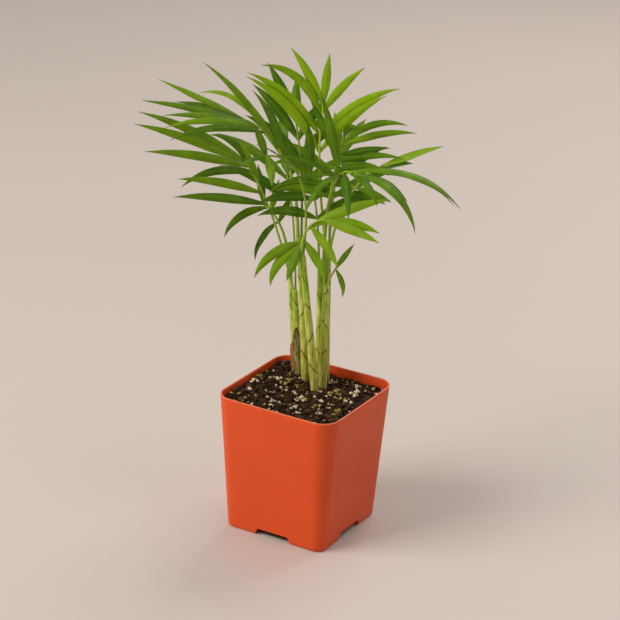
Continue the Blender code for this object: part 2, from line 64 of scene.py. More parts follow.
# points reached by following the directions one after another: the running sum of mean steps
def runningSum(ways, spacing):
    middle = (ways[1:] + ways[:-1]) / 2
    return np.vstack([np.zeros(3), np.cumsum(middle * spacing, axis=0)])


# even noise on a lattice, eased between lattice values, over two coordinates
def softNoise(x, y, cell, seed):
    lattice = np.random.default_rng(seed).random((64, 64))
    px, py = x / cell + 31.3, y / cell + 17.7
    ix, iy = np.floor(px).astype(int), np.floor(py).astype(int)
    fx, fy = px - ix, py - iy
    fx, fy = fx * fx * (3 - 2 * fx), fy * fy * (3 - 2 * fy)
    at = lambda dx, dy: lattice[(ix + dx) % 64, (iy + dy) % 64]
    low = at(0, 0) * (1 - fx) + at(1, 0) * fx
    high = at(0, 1) * (1 - fx) + at(1, 1) * fx
    return (low * (1 - fy) + high * fy) * 2 - 1


# quads between neighbouring rings that close round, and one face over each end
def ringFaces(rows, columns, start=0):
    spot = np.arange(rows * columns).reshape(rows, columns) + start
    beside = np.roll(spot, -1, axis=1)
    quads = np.stack([spot[:-1], beside[:-1], beside[1:], spot[1:]], axis=-1).reshape(-1, 4)
    return [quads, spot[:1, ::-1], spot[-1:]]


# an object from points and arrays of faces, with its own coordinates and marks on its points
def meshObject(name, points, faces, finishes, uv=None, marks=None, finishOf=None, smooth=True):
    mesh = bpy.data.meshes.new(name)
    corners = np.concatenate([part.ravel() for part in faces]).astype(np.int32)
    counts = np.concatenate([np.full(len(part), part.shape[1]) for part in faces])
    starts = np.concatenate([[0], np.cumsum(counts)[:-1]]).astype(np.int32)
    mesh.vertices.add(len(points))
    mesh.vertices.foreach_set("co", np.asarray(points, dtype=np.float32).ravel())
    mesh.loops.add(len(corners))
    mesh.loops.foreach_set("vertex_index", corners)
    mesh.polygons.add(len(counts))
    mesh.polygons.foreach_set("loop_start", starts)
    for finish in finishes:
        mesh.materials.append(finish)
    if finishOf is not None:
        mesh.polygons.foreach_set("material_index", np.asarray(finishOf, dtype=np.int32))
    mesh.update(calc_edges=True)
    mesh.polygons.foreach_set("use_smooth", np.full(len(counts), smooth))
    if uv is not None:
        layer = mesh.uv_layers.new(name="UVMap")
        layer.data.foreach_set("uv", np.asarray(uv, dtype=np.float32)[corners].ravel())
    for key, values in (marks or {}).items():
        mark = mesh.attributes.new(key, "FLOAT", "POINT")
        mark.data.foreach_set("value", np.asarray(values, dtype=np.float32))
    mesh.validate()
    piece = bpy.data.objects.new(name, mesh)
    bpy.context.collection.objects.link(piece)
    return piece


# a shader node with its settings, where an input is either a number or another node's output
def addNode(tree, kind, inputs=None, **settings):
    made = tree.nodes.new("ShaderNode" + kind)
    for key, value in settings.items():
        setattr(made, key, value)
    for key, value in (inputs or {}).items():
        if isinstance(value, bpy.types.NodeSocket):
            tree.links.new(value, made.inputs[key])
        else:
            made.inputs[key].default_value = value
    return made


# a new material with its node tree, its main shader and each point's own coordinates
def newFinish(name):
    finish = bpy.data.materials.new(name)
    finish.use_nodes = True
    tree = finish.node_tree
    return finish, tree, tree.nodes["Principled BSDF"], addNode(tree, "TexCoord").outputs["Object"]


# colour, roughness and normal led to the main shader, with its shine
def wire(tree, shader, colour, rough, normal, shine=0.5):
    for key, value in (("Base Color", colour), ("Roughness", rough), ("Normal", normal)):
        tree.links.new(value, shader.inputs[key])
    shader.inputs["Specular IOR Level"].default_value = shine


# the values that a mesh carries on its points
def markOf(tree, key):
    return addNode(tree, "Attribute", attribute_name=key).outputs["Fac"]


# one arithmetic step on one or two values
def mathOf(tree, operation, first, second=0.0, clamp=False):
    made = addNode(tree, "Math", {0: first, 1: second}, operation=operation, use_clamp=clamp)
    return made.outputs[0]


# first * (1 - factor) + second * factor, where a colour is three numbers or another node's output
def mixOf(tree, factor, first, second):
    rgba = [value if isinstance(value, bpy.types.NodeSocket) else (*value, 1) for value in (first, second)]
    return addNode(tree, "Mix", {0: factor, 6: rgba[0], 7: rgba[1]}, data_type="RGBA").outputs[2]


# noise from 0 to 1, with about scale waves to each unit of its place
def noiseOf(tree, place, scale, detail, roughness=0.55):
    inputs = {"Vector": place, "Scale": scale, "Detail": detail, "Roughness": roughness}
    return addNode(tree, "TexNoise", inputs).outputs["Fac"]


# a value carried from one range to another, held at the ends
def rangeOf(tree, value, low, high, start=0.0, end=1.0):
    return addNode(tree, "MapRange", {0: value, 1: low, 2: high, 3: start, 4: end}).outputs[0]


# a place multiplied by a scale along each axis
def stretched(tree, place, scale):
    return addNode(tree, "Mapping", {"Vector": place, "Scale": scale}).outputs[0]


# a normal tilted by the slope of a height, on top of another bump if there is one
def bumpOf(tree, height, strength, distance, normal=None):
    inputs = {"Height": height, "Strength": strength, "Distance": distance}
    if normal is not None:
        inputs["Normal"] = normal
    return addNode(tree, "Bump", inputs).outputs[0]


# ---- the pot: rounded square rings carried up the wall, over the rim and down inside

pot = {
    "height": 0.103, "rimSide": 0.095, "baseSide": 0.080, "rimCorner": 0.0135, "baseCorner": 0.0070,
    "wall": 0.0012, "floor": 0.0014, "rimRound": 0.0005, "baseRound": 0.0012,
    "roundShare": 0.2929,  # a round's middle lies this share of its radius in from the corner: 1 - sin 45
    "cornerSteps": 16, "sideSteps": 18,
    "channelWidth": 0.030, "channelTaper": 0.0025, "channelHeight": 0.0050, "channelReach": 0.018,
    "slotLength": 0.014, "slotWidth": 0.005, "bow": 0.00025,
    # the paler rim colour is a painted highlight on the top of the rim
    "colour": (0.680, 0.075, 0.009), "deepColour": (0.620, 0.062, 0.007), "rimHighlightColour": (0.80, 0.20, 0.09),
    "roughness": 0.40, "shine": 0.30,
}


# a square with rounded corners: quarter arcs joined by evenly divided sides
def squareRing(side, corner, height):
    reach, rows = side / 2 - corner, []
    turns = np.linspace(0, math.pi / 2, pot["cornerSteps"] + 1)
    along = np.linspace(0, 1, pot["sideSteps"] + 1)[1:-1]
    for quarter, (mx, my) in enumerate([(1, 1), (-1, 1), (-1, -1), (1, -1)]):
        angles = turns + quarter * math.pi / 2
        arc = np.stack([mx * reach + corner * np.cos(angles), my * reach + corner * np.sin(angles)], axis=1)
        nx, ny = [(-1, 1), (-1, -1), (1, -1), (1, 1)][quarter]
        last = corner * np.array([math.cos(angles[-1]), math.sin(angles[-1])])
        after = np.array([nx, ny]) * reach + last
        rows += [arc, arc[-1] + (after - arc[-1]) * along[:, None]]
    ring = np.vstack(rows)
    return np.column_stack([ring, np.full(len(ring), height)])


# ring of the wall at a height, moved in by an inset, its sides drawn in a little at mid height
def wallRing(height, inset, bow=True):
    part = height / pot["height"]
    side = pot["baseSide"] + (pot["rimSide"] - pot["baseSide"]) * part
    corner = pot["baseCorner"] + (pot["rimCorner"] - pot["baseCorner"]) * part
    ring = squareRing(side - 2 * inset, max(corner - inset, 0.002), height)
    if bow:
        outer = np.max(np.abs(ring[:, :2]), axis=1)
        least = np.min(np.abs(ring[:, :2]), axis=1)
        most = pot["bow"] * math.sin(math.pi * min(max(part, 0), 1))
        pull = most * np.cos(np.clip(least / outer, 0, 1) * math.pi / 2) ** 2
        ring[:, :2] *= (1 - pull / outer)[:, None]
    return ring


# points turned about Z by quarter turns
def spun(points, quarter):
    turn = np.array([[0, -1, 0], [1, 0, 0], [0, 0, 1]]) if quarter else np.eye(3)
    return np.asarray(points) @ np.linalg.matrix_power(turn, quarter).T


# a tapered block under the middle of one side: the housing of a drain channel, or its hollow
def channelBlock(quarter, grow, outer, bottom):
    foot = pot["channelWidth"] / 2 + grow
    head, top = foot - pot["channelTaper"], pot["channelHeight"] + grow
    inner, lean = pot["baseSide"] / 2 - pot["channelReach"] - grow, pot["channelTaper"] * 0.6
    rings = [[(place, -foot, bottom), (place, foot, bottom),
              (place + ease, head, top), (place + ease, -head, top)]
             for place, ease in ((inner, lean), (outer, 0))]
    return meshObject("block", spun(np.vstack(rings), quarter), ringFaces(2, 4), [], smooth=False)


# a box through the roof of a channel, which leaves a drain slot
def slotBlock(quarter):
    middle = pot["baseSide"] / 2 - pot["channelReach"] / 2
    near, far, end = middle - pot["slotWidth"] / 2, middle + pot["slotWidth"] / 2, pot["slotLength"] / 2
    rings = [[(near, -end, z), (far, -end, z), (far, end, z), (near, end, z)]
             for z in (pot["channelHeight"] - 0.001, pot["channelHeight"] + pot["wall"] + 0.001)]
    return meshObject("block", spun(np.vstack(rings), quarter), ringFaces(2, 4), [], smooth=False)


# doubled points joined, and faces turned to look outward
def turnedOut(piece):
    work = bmesh.new()
    work.from_mesh(piece.data)
    bmesh.ops.remove_doubles(work, verts=work.verts, dist=0.00001)
    bmesh.ops.dissolve_degenerate(work, edges=work.edges, dist=0.000001)
    bmesh.ops.recalc_face_normals(work, faces=work.faces)
    work.to_mesh(piece.data)
    work.free()


# a block joined to a piece or cut from it, and then removed
def combine(piece, cutter, operation):
    turnedOut(cutter)
    step = piece.modifiers.new("combine", "BOOLEAN")
    step.operation, step.solver, step.object = operation, "EXACT", cutter
    bpy.context.view_layer.update()
    shape = piece.evaluated_get(bpy.context.evaluated_depsgraph_get())
    made = bpy.data.meshes.new_from_object(shape)
    piece.modifiers.clear()
    piece.data = made
    bpy.data.objects.remove(cutter)


# smooth moulded plastic: even colour with faint clouding, a fine skin and a paler rim top that is painted
# highlight, in patches
def potFinish():
    finish, tree, shader, place = newFinish("potPlastic")
    cloud = noiseOf(tree, place, 26.0, 4.0)
    colour = mixOf(tree, cloud, pot["deepColour"], pot["colour"])
    height = addNode(tree, "SeparateXYZ", {0: place}).outputs[2]
    # painted highlight: the top of the rim made paler where light catches it, in patches by noise
    top = rangeOf(tree, height, pot["height"] - 0.0009, pot["height"] - 0.0002, 0.0, 0.75)
    paintedRimHighlight = mathOf(tree, "MULTIPLY", top, rangeOf(tree, noiseOf(tree, place, 240.0, 3.0), 0.25, 0.55, 0.6, 1.0))
    colour = mixOf(tree, paintedRimHighlight, colour, pot["rimHighlightColour"])
    dust = rangeOf(tree, noiseOf(tree, place, 900.0, 2.0), 0.66, 0.78, 0.0, 0.10)
    colour = mixOf(tree, dust, colour, (0.80, 0.34, 0.18))
    smoothest, roughest = pot["roughness"] - 0.04, pot["roughness"] + 0.05
    rough = rangeOf(tree, noiseOf(tree, place, 60.0, 5.0), 0.3, 0.7, smoothest, roughest)
    skin = bumpOf(tree, noiseOf(tree, place, 1400.0, 2.0), 0.10, 0.0002)
    skin = bumpOf(tree, noiseOf(tree, place, 45.0, 1.0), 0.25, 0.0005, skin)
    wire(tree, shader, colour, rough, skin, pot["shine"])
    return finish


# rings up the outside, over the rounded rim and down the inside; then housings joined on, and hollows cut
def makePot():
    height, wall, floor = pot["height"], pot["wall"], pot["floor"]
    rim, base = pot["rimRound"], pot["baseRound"]
    half, edge = base * pot["roundShare"], rim * pot["roundShare"]
    up = np.linspace(base, height - rim, 26)
    down = np.linspace(height - rim, floor + base, 16)
    rings = [wallRing(0, base), wallRing(half, half)] + [wallRing(z, 0) for z in up]
    rings += [wallRing(height - edge, edge), wallRing(height, rim)]
    rings += [wallRing(height, wall - rim), wallRing(height - edge, wall - edge)]
    rings += [wallRing(z, wall) for z in down] + [wallRing(floor, wall + base * 0.6)]
    piece = meshObject("moulded_pot", np.vstack(rings), ringFaces(len(rings), len(rings[0])), [potFinish()])
    for quarter in range(4):
        combine(piece, channelBlock(quarter, wall, pot["baseSide"] / 2 - wall * 0.6, floor * 0.4), "UNION")
    for quarter in range(4):
        combine(piece, channelBlock(quarter, 0, pot["rimSide"] / 2, -0.001), "DIFFERENCE")
        combine(piece, slotBlock(quarter), "DIFFERENCE")
    turnedOut(piece)
    piece.data.polygons.foreach_set("use_smooth", np.ones(len(piece.data.polygons), dtype=bool))
    piece.data.set_sharp_from_angle(angle=math.radians(34))
    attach(piece, "root")
    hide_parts("pot")
    print("pot made")


# ---- the potting mix: an uneven top over a plain body, with loose bits of peat, bark and pale grains

mix = {
    "drop": 0.0065, "swell": 0.0012, "heap": 0.0038, "gap": 0.0003, "rough": 0.0015, "rings": 84,
    "slack": 0.0002, "waist": 0.05, "shoulder": 0.0035, "edgeShare": 0.03, "edgeDrop": 0.0012, "sunk": 0.0004,
    "darkColour": (0.010, 0.0045, 0.0015), "brownColour": (0.050, 0.023, 0.008), "shine": 0.12,
    "edgeMargin": 0.0030, "groupShare": 0.62, "groupSpread": 0.0022, "caneRoom": 0.0046,
}
mix["top"] = pot["height"] - mix["drop"]


# height of the mix's top: two slow waves, a heap towards -x, then three sizes of noise
def mixHeight(x, y):
    waves = np.sin(x * 160 + 1.0) * np.cos(y * 130) + 0.6 * np.sin(x * 310 + y * 240 + 0.7)
    slow = mix["swell"] * 0.6 * waves
    coarse = 0.55 * softNoise(x, y, 0.0065, 1) + 0.45 * softNoise(x, y, 0.0028, 2)
    fine = coarse + 0.25 * softNoise(x, y, 0.0012, 3)
    heap = mix["heap"] * np.clip(-x / (pot["rimSide"] / 2), 0, 1) ** 1.5
    return mix["top"] + slow + heap + mix["rough"] * fine


# damp dark mix: two browns by one noise, which also roughens it
def mixFinish():
    finish, tree, shader, place = newFinish("pottingMix")
    grain = noiseOf(tree, place, 420.0, 6.0, 0.7)
    colour = mixOf(tree, rangeOf(tree, grain, 0.38, 0.66), mix["darkColour"], mix["brownColour"])
    rough = rangeOf(tree, grain, 0.3, 0.7, 0.75, 0.98)
    wire(tree, shader, colour, rough, bumpOf(tree, grain, 0.9, 0.0012), mix["shine"])
    return finish


# a plain colour broken up by noise, for bits a few millimetres across
def bitFinish(name, first, second, scale, roughness, bump):
    finish, tree, shader, place = newFinish(name)
    patch = rangeOf(tree, noiseOf(tree, place, scale * 0.35, 3.0), 0.35, 0.65)
    grain = noiseOf(tree, place, scale, 4.0, 0.65)
    colour = mixOf(tree, patch, first, second)
    dark = tuple(value * 0.45 for value in first)
    colour = mixOf(tree, rangeOf(tree, grain, 0.55, 0.80, 0.0, 0.5), colour, dark)
    rough = rangeOf(tree, grain, 0.3, 0.7, roughness - 0.08, roughness + 0.08)
    wire(tree, shader, colour, rough, bumpOf(tree, grain, bump, 0.0006), mix["shine"])
    return finish


# rings up the inside of the wall, then the rim ring drawn in to the middle over the uneven top
def makeMix():
    inset = pot["wall"] + mix["gap"]
    lower = [wallRing(pot["floor"] + mix["gap"], inset + pot["baseRound"] * 0.6, False)]
    inset += mix["slack"]
    heights = (pot["floor"] + pot["baseRound"] + mix["gap"], mix["waist"], mix["top"] - mix["shoulder"])
    lower += [wallRing(z, inset, False) for z in heights]
    rim = wallRing(mix["top"], inset, False)
    shares = np.linspace(1, 0.012, mix["rings"]) ** 0.9
    upper = []
    for share in shares:
        ring = rim.copy()
        ring[:, :2] *= share
        edge = min(1, (1 - share) / mix["edgeShare"])
        ring[:, 2] = mixHeight(ring[:, 0], ring[:, 1]) - mix["edgeDrop"] * (1 - edge) - mix["sunk"]
        upper.append(ring)
    rings = lower + upper
    piece = meshObject("potting_mix", np.vstack(rings), ringFaces(len(rings), len(rim)), [mixFinish()])
    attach(piece, "root")
    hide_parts("soil")


# rounded lumps: a small ball of rings, each point pushed in or out, then sized and turned at random
def lumps(name, count, sizes, flatness, roughness, sink, finish, seed, clusters):
    draw = np.random.default_rng(seed)
    half = pot["rimSide"] / 2 - pot["wall"] - mix["edgeMargin"]
    spots = draw.uniform(-half, half, (count * 3, 2))
    if clusters:  # most lie in loose groups
        middles = draw.uniform(-half, half, (clusters, 2))
        grouped = middles[draw.integers(0, clusters, count * 3)]
        grouped = grouped + draw.normal(0, mix["groupSpread"], (count * 3, 2))
        spots = np.where(draw.uniform(size=(count * 3, 1)) < mix["groupShare"], grouped, spots)
        spots = spots[np.abs(spots).max(axis=1) < half]
    corner = pot["rimCorner"] - mix["edgeMargin"]
    over = np.maximum(np.abs(spots) - (half - corner), 0)
    spots = spots[np.linalg.norm(over, axis=1) < corner][:count]
    for foot in canes.values():  # none stands in a cane
        away = spots - np.array([foot[0], foot[1]]) / 1000
        reach = np.linalg.norm(away, axis=1, keepdims=True)
        spots = np.where(reach < mix["caneRoom"], spots + away / reach * (mix["caneRoom"] - reach), spots)
    count, bands, spokes = len(spots), 4, 7
    tall = np.linspace(-1, 1, bands + 2)[1:-1] * 0.86
    around = np.arange(spokes) * 2 * math.pi / spokes
    ball = np.array([[math.sqrt(1 - z * z) * math.cos(a), math.sqrt(1 - z * z) * math.sin(a), z]
                     for z in tall for a in around])
    ball = np.vstack([ball, [[0, 0, -1], [0, 0, 1]]])
    push = 1 + roughness * draw.normal(size=(count, len(ball), 1))
    radius = draw.triangular(*sizes, size=(count, 1, 1)) / 2
    stretch = np.stack([draw.uniform(0.8, 1.5, count), draw.uniform(0.7, 1.1, count),
                        draw.uniform(*flatness, count)], axis=1)
    shape = ball[None] * push.clip(0.5, 1.5) * radius * stretch[:, None, :]
    spin, tilt = draw.uniform(0, 2 * math.pi, count), draw.normal(0, 0.35, count)
    cosSpin, sinSpin, cosTilt, sinTilt = np.cos(spin), np.sin(spin), np.cos(tilt), np.sin(tilt)
    turn = np.stack([np.stack([cosSpin, -sinSpin * cosTilt, sinSpin * sinTilt], -1),
                     np.stack([sinSpin, cosSpin * cosTilt, -cosSpin * sinTilt], -1),
                     np.stack([np.zeros(count), sinTilt, cosTilt], -1)], 1)
    shape = np.einsum("nij,nkj->nki", turn, shape)
    lift = mixHeight(spots[:, 0], spots[:, 1]) + radius[:, 0, 0] * stretch[:, 2] * (1 - 2 * sink)
    shape[:, :, :2] += spots[:, None, :]
    shape[:, :, 2] += lift[:, None]
    grid = np.arange(bands * spokes).reshape(bands, spokes)
    side = np.roll(grid, -1, axis=1)
    quads = np.stack([grid[:-1], side[:-1], side[1:], grid[1:]], -1).reshape(-1, 4)
    low = np.stack([side[0], grid[0], np.full(spokes, bands * spokes)], -1)
    high = np.stack([grid[-1], side[-1], np.full(spokes, bands * spokes + 1)], -1)
    offsets = (np.arange(count) * len(ball))[:, None, None]
    faces = [(part[None] + offsets).reshape(-1, part.shape[1]) for part in (quads, low, high)]
    piece = meshObject(name, shape.reshape(-1, 3), faces, [finish], smooth=False)
    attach(piece, "root")


# each kind of bit: how many, sizes, flatness, roughness, share sunk, finish, seed and loose groups
bits = {
    "peat_crumbs": (2300, (0.0006, 0.0013, 0.0036), (0.6, 1.0), 0.20, 0.30,
                    ("peat", (0.014, 0.0065, 0.0022), (0.050, 0.023, 0.008), 700.0, 0.86, 0.9), 11, 0),
    "bark_bits": (260, (0.0014, 0.0026, 0.0062), (0.22, 0.45), 0.14, 0.15,
                  ("bark", (0.085, 0.038, 0.013), (0.026, 0.012, 0.005), 600.0, 0.78, 0.8), 12, 0),
    "pale_grains": (330, (0.0004, 0.0009, 0.0036), (0.6, 1.0), 0.20, 0.22,
                    ("perlite", (0.78, 0.66, 0.46), (0.46, 0.33, 0.18), 900.0, 0.82, 0.7), 13, 26),
    "tan_grains": (190, (0.0005, 0.0012, 0.0040), (0.5, 0.9), 0.22, 0.20,
                   ("tanGrain", (0.44, 0.28, 0.08), (0.22, 0.19, 0.025), 800.0, 0.80, 0.7), 14, 14),
}


def makeBits():
    for name, (count, sizes, flatness, roughness, sink, finish, seed, clusters) in bits.items():
        lumps(name, count, sizes, flatness, roughness, sink, bitFinish(*finish), seed, clusters)
    print("potting mix made")


# ---- the canes: tubes wrapped in old leaf sheaths, with dark edges where each sheath ends

# foot x, foot y (mm), height above the mix, lean, lean heading, foot radius, top radius
canes = {
    "cane_left": (-31, 38, 80, 5, 200, 2.3, 1.8),
    "cane_back_left": (-22, 29, 68, 5, 215, 2.6, 2.2),
    "cane_middle": (-13, 22, 112, 4, 215, 2.8, 2.6),
    "cane_front": (1, 12, 104, 7, 205, 3.0, 2.6),
    "cane_inner": (-4, 25, 90, 1, 210, 2.7, 2.5),
    "cane_right": (2, 21, 80, 0.5, 210, 2.9, 2.6),
    "cane_back_right": (-3, 33, 100, 1, 200, 2.8, 2.6),
}
caneLook = {
    "depth": 0.020, "shownDepth": 0.012, "rows": 330, "sides": 28, "domeRows": 14, "domeHeight": 0.0042,
    "mouthStep": 0.00012, "mouthRise": 0.0125, "mouthLine": 0.00062, "mouthSoft": 0.0001, "slack": 0.00022,
    "footColour": (0.60, 0.52, 0.09), "topColour": (0.29, 0.45, 0.010), "edgeColour": (0.030, 0.010, 0.004),
    "shine": 0.28,
}
# for each cane, the sheath ends: height above the mix (mm) and the heading of the end's highest point
mouths = {
    "cane_left": [(46, 250), (62, 60)],
    "cane_back_left": [(28, 330), (56, 250)],
    "cane_middle": [(20, 240), (50, 320), (80, 200)],
    "cane_front": [(16, 250), (38, 345), (62, 285), (86, 200)],
    "cane_inner": [(22, 260), (42, 330), (66, 220)],
    "cane_right": [(24, 320), (47, 255), (70, 330)],
    "cane_back_right": [(30, 300), (58, 240), (80, 340)],
}


# where a cane meets the mix, its top, and its axis: the top lies up the axis by height / axis z
def caneEnds(name):
    footX, footY, height, lean, heading = canes[name][:5]
    axis = aim(heading, 90 - lean)
    ground = np.array([footX / 1000, footY / 1000, mix["top"]])
    return ground, ground + axis * (height / 1000 / axis[2]), axis


# stacked rings; the radius eases from foot to top, steps in at each sheath end
# and closes over the last millimetres
def makeCane(name, finish):
    ground, top, axis = caneEnds(name)
    footRadius, topRadius = canes[name][5] / 1000, canes[name][6] / 1000
    sideWay = unit(np.cross(axis, np.array([0, 1, 0])))
    other = np.cross(axis, sideWay)
    length = np.linalg.norm(top - ground)
    rows, sides = caneLook["rows"], caneLook["sides"]
    up = np.linspace(-caneLook["shownDepth"], length, rows)
    dome = caneLook["domeRows"]
    up[-dome:] = np.linspace(up[-dome - 1], length, dome + 1)[1:]
    angles = np.arange(sides) * 2 * math.pi / sides
    outward = np.cos(angles)[:, None] * sideWay + np.sin(angles)[:, None] * other
    heads = np.arctan2(outward[:, 1], outward[:, 0])
    part = (up + caneLook["depth"]) / (length + caneLook["depth"])
    radius = (footRadius + (topRadius - footRadius) * part)[:, None] * np.ones(sides)
    radius *= 1 + 0.035 * np.sin(up * 95 + canes[name][0] * 0.7)[:, None] * np.cos(angles * 2 + 1)[None, :]
    edge = np.zeros((rows, sides))
    for mouth, heading in mouths[name]:
        gap = np.abs((heads - math.radians(heading) + math.pi) % (2 * math.pi) - math.pi) / math.pi
        line = mouth / 1000 + caneLook["mouthRise"] * (0.5 - gap) + 0.0004 * np.sin(angles * 5)
        off = up[:, None] - line[None, :]
        radius -= caneLook["mouthStep"] * (1 / (1 + np.exp(-off / caneLook["mouthSoft"])))
        shown = np.clip(1.6 - 1.2 * gap, 0, 1)[None, :]
        edge = np.maximum(edge, np.exp(-(off / caneLook["mouthLine"]) ** 2) * shown)
    radius += caneLook["mouthStep"] * 1.2
    close = np.clip((length - up) / caneLook["domeHeight"], 0, 1)[:, None]
    radius *= 0.42 + 0.58 * np.sqrt(1 - (1 - close) ** 2)
    radius[-1] *= 0.5
    radius = np.minimum(radius, max(footRadius, topRadius) + caneLook["slack"])
    points = ground + up[:, None, None] * axis + radius[:, :, None] * outward[None]
    upCane = np.broadcast_to((up / length)[:, None], (rows, sides))
    piece = meshObject("living_" + name, points.reshape(-1, 3), ringFaces(rows, sides), [finish],
                       marks={"sheathEdge": edge.ravel(), "upCane": upCane.ravel()})
    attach(piece, "root")
    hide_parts(name)


# pale yellow-green skin with fine fibres along it, small brown specks low down and dark sheath edges
def caneFinish():
    finish, tree, shader, place = newFinish("caneSkin")
    up = markOf(tree, "upCane")
    edge = markOf(tree, "sheathEdge")
    fibres = noiseOf(tree, stretched(tree, place, (1500.0, 1500.0, 45.0)), 1.0, 3.0)
    patches = noiseOf(tree, stretched(tree, place, (260.0, 260.0, 70.0)), 1.0, 3.0)
    colour = mixOf(tree, rangeOf(tree, up, 0.0, 0.75), caneLook["footColour"], caneLook["topColour"])
    colour = mixOf(tree, rangeOf(tree, patches, 0.44, 0.64, 0.0, 0.70), colour, (0.78, 0.72, 0.22))
    colour = mixOf(tree, rangeOf(tree, fibres, 0.44, 0.66, 0.0, 0.75), colour, (0.13, 0.19, 0.006))
    low = rangeOf(tree, up, 0.45, 0.02, 0.0, 1.0)
    flecks = noiseOf(tree, stretched(tree, place, (900.0, 900.0, 420.0)), 1.0, 4.0)
    specks = rangeOf(tree, flecks, 0.57, 0.64)
    colour = mixOf(tree, mathOf(tree, "MULTIPLY", specks, low), colour, (0.10, 0.040, 0.010))
    stain = rangeOf(tree, up, 0.10, -0.02, 0.0, 0.55)
    colour = mixOf(tree, stain, colour, (0.16, 0.10, 0.04))
    ragged = mathOf(tree, "MULTIPLY", edge, rangeOf(tree, patches, 0.26, 0.46, 0.45, 1.15), clamp=True)
    colour = mixOf(tree, ragged, colour, caneLook["edgeColour"])
    rough = rangeOf(tree, fibres, 0.3, 0.7, 0.36, 0.50)
    wire(tree, shader, colour, rough, bumpOf(tree, fibres, 0.35, 0.0003), caneLook["shine"])
    return finish


# ---- dry sheaths: brown papery strips standing round two canes, torn along the top

# cane, height above the mix (mm), wrap and its heading in degrees
sheaths = {
    "dry_sheath_left": ("cane_left", 24, 210, 280),
    "dry_sheath_back": ("cane_back_left", 42, 200, 290),
}
# dark fibres, light fibres and patches of each sheath
sheathColours = {
    "dry_sheath_left": ((0.150, 0.045, 0.012), (0.460, 0.200, 0.060), (0.30, 0.16, 0.04)),
    "dry_sheath_back": ((0.060, 0.030, 0.010), (0.270, 0.170, 0.050), (0.34, 0.33, 0.07)),
}

sheathLook = {"rows": 60, "columns": 33, "start": 0.0004, "gap": 0.0003, "outer": 0.00055, "inner": 0.00008}


# a two-sided strip round a cane, narrower toward its top, with a torn upper edge and a crinkled face
def makeSheath(name, finish, seed):
    cane, height, wrap, heading = sheaths[name]
    ground, axis = caneEnds(cane)[::2]
    sideWay = unit(aim(heading, 0) - axis * float(aim(heading, 0) @ axis))
    other = np.cross(axis, sideWay)
    inner = (canes[cane][5] + (canes[cane][6] - canes[cane][5]) * 0.2) / 1000 + sheathLook["gap"]
    rows, columns, start = (sheathLook[key] for key in ("rows", "columns", "start"))
    part, across = np.linspace(0, 1, rows)[:, None], np.linspace(-1, 1, columns)[None, :]
    torn = 1 - 0.10 * (softNoise(across * 3.0, across * 0, 0.22, seed) * 0.5 + 0.5) - 0.10 * np.abs(across)
    up = start + (height / 1000 - start) * part * torn
    angle = math.radians(wrap / 2) * (1 - 0.72 * part ** 3) * across
    crinkle = 0.00014 * softNoise(angle * 2.2, up * 90, 0.30, seed + 1) + 0.00010 * np.sin(angle * 17)
    flare = 0.00018 * part ** 4
    outer = inner + sheathLook["outer"] + crinkle + flare
    inside = inner + sheathLook["inner"] + crinkle * 0.4 + flare
    way = np.cos(angle)[..., None] * sideWay + np.sin(angle)[..., None] * other
    middle = ground + up[..., None] * axis
    front, back = middle + way * outer[..., None], middle + way * inside[..., None]
    ring = np.concatenate([front, back[:, ::-1]], axis=1)
    piece = meshObject("torn_" + name, ring.reshape(-1, 3), ringFaces(rows, columns * 2), [finish])
    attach(piece, "root")
    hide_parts(name)


# dry fibres along the strip, dark to light, with patches of a third colour
def sheathFinish(name):
    dark, light, patch = sheathColours[name]
    finish, tree, shader, place = newFinish("skin_" + name)
    fibres = noiseOf(tree, stretched(tree, place, (1700.0, 1700.0, 60.0)), 1.0, 4.0)
    patches = noiseOf(tree, stretched(tree, place, (330.0, 330.0, 150.0)), 1.0, 4.0)
    colour = mixOf(tree, rangeOf(tree, fibres, 0.38, 0.66), dark, light)
    colour = mixOf(tree, rangeOf(tree, patches, 0.46, 0.62, 0.0, 0.75), colour, patch)
    rough = rangeOf(tree, fibres, 0.3, 0.7, 0.55, 0.75)
    wire(tree, shader, colour, rough, bumpOf(tree, fibres, 0.6, 0.0004))
    return finish


# ---- the fronds: an arching stalk with folded, pointed leaflets on both sides

frondLook = {
    "stalkTip": 0.0007, "lastLeaflet": 0.96, "gap": 0.0003,
    "leafWidth": 0.0062, "leafWidening": 0.025, "fold": 0.16, "thick": 0.00034,
    "footFold": 0.50, "footFoldReach": 0.22, "ripple": 0.00022, "rib": 0.00022, "ribWidth": 0.09,
    "groove": 0.16, "sunk": (0.009, 0.006, 0.003),
    "stalkRows": 48, "stalkSides": 10, "leafRows": 34, "stalkSteps": 60, "leafSteps": 120,
    # the green runs from deepColour to brightColour by each frond's tone, which is partly painted shade and
    # light
    "deepColour": (0.070, 0.180, 0.003), "brightColour": (0.400, 0.640, 0.004),
    "tipColour": (0.20, 0.085, 0.025),
    "glow": 0.34, "shine": 0.24, "toneSpread": 0.17,
}
